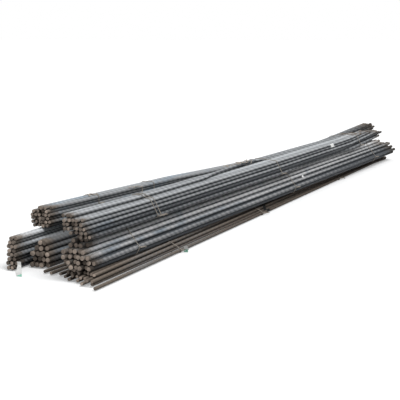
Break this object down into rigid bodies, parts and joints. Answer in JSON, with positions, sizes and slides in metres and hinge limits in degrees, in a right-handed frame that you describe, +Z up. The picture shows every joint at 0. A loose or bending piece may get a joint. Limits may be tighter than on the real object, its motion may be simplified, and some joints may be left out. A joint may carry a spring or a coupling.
{
  "type": "rebar bundle",
  "caption": "Stack of wire-tied bundles of long steel reinforcing bars, laid beside and on top of one another with staggered ends.",
  "frame": {"origin": "on the floor, under the middle of the stack's bounding box", "axes": "+X along the bars from the near ends to the far ends, +Y across the stack to the left when looking along +X, +Z up"},
  "size_m": [9.9314, 1.0408, 0.4777],
  "materials": {
    "scale_grey": "grey mill scale, dull",
    "scale_blue": "blue-grey mill scale, dull",
    "dark_scale": "dark mill scale, dull",
    "rust_brown": "mill scale with light brown rust, rough",
    "tie_wire": "dark annealed wire, rough",
    "card": "bare pale card, matt"
  },
  "bodies": {
    "root": {"bottom_front_row_1": "rust_brown", "bottom_front_row_2": "rust_brown", "bottom_front_row_3": "rust_brown", "bottom_front_tie_1": "tie_wire", "bottom_front_tie_2": "tie_wire", "bottom_front_tie_3": "tie_wire", "bottom_front_tag": "card", "middle_front_row_1": "scale_grey", "middle_front_row_2": "scale_grey", "middle_front_row_3": "scale_grey", "middle_front_row_4": "scale_grey", "middle_front_row_5": "scale_grey", "middle_front_row_6": "scale_grey", "middle_front_tie_1": "tie_wire", "middle_front_tie_2": "tie_wire", "middle_front_tie_3": "tie_wire", "top_front_row_1": "scale_blue", "top_front_row_2": "scale_blue", "top_front_row_3": "scale_blue", "top_front_row_4": "scale_blue", "top_front_row_5": "scale_blue", "top_front_row_6": "scale_blue", "top_front_tie_1": "tie_wire", "top_front_tie_2": "tie_wire", "top_front_tie_3": "tie_wire", "top_front_tie_4": "tie_wire", "lower_middle_row_1": "dark_scale", "lower_middle_row_2": "dark_scale", "lower_middle_row_3": "dark_scale", "lower_middle_row_4": "dark_scale", "lower_middle_row_5": "dark_scale", "lower_middle_tie_1": "tie_wire", "lower_middle_tie_2": "tie_wire", "lower_middle_tie_3": "tie_wire", "lower_rear_row_1": "dark_scale", "lower_rear_row_2": "dark_scale", "lower_rear_row_3": "dark_scale", "lower_rear_row_4": "dark_scale", "lower_rear_row_5": "dark_scale", "lower_rear_row_6": "dark_scale", "lower_rear_row_7": "dark_scale", "lower_rear_row_8": "dark_scale", "lower_rear_tie_1": "tie_wire", "lower_rear_tie_2": "tie_wire", "lower_rear_tie_3": "tie_wire", "lower_rear_label": "card", "top_rear_row_1": "scale_grey", "top_rear_row_2": "scale_grey", "top_rear_row_3": "scale_grey", "top_rear_row_4": "scale_grey", "top_rear_row_5": "scale_grey", "top_rear_row_6": "scale_grey", "top_rear_tie_1": "tie_wire", "top_rear_tie_2": "tie_wire", "top_rear_tie_3": "tie_wire", "top_rear_tie_4": "tie_wire"}
  },
  "joints": []
}
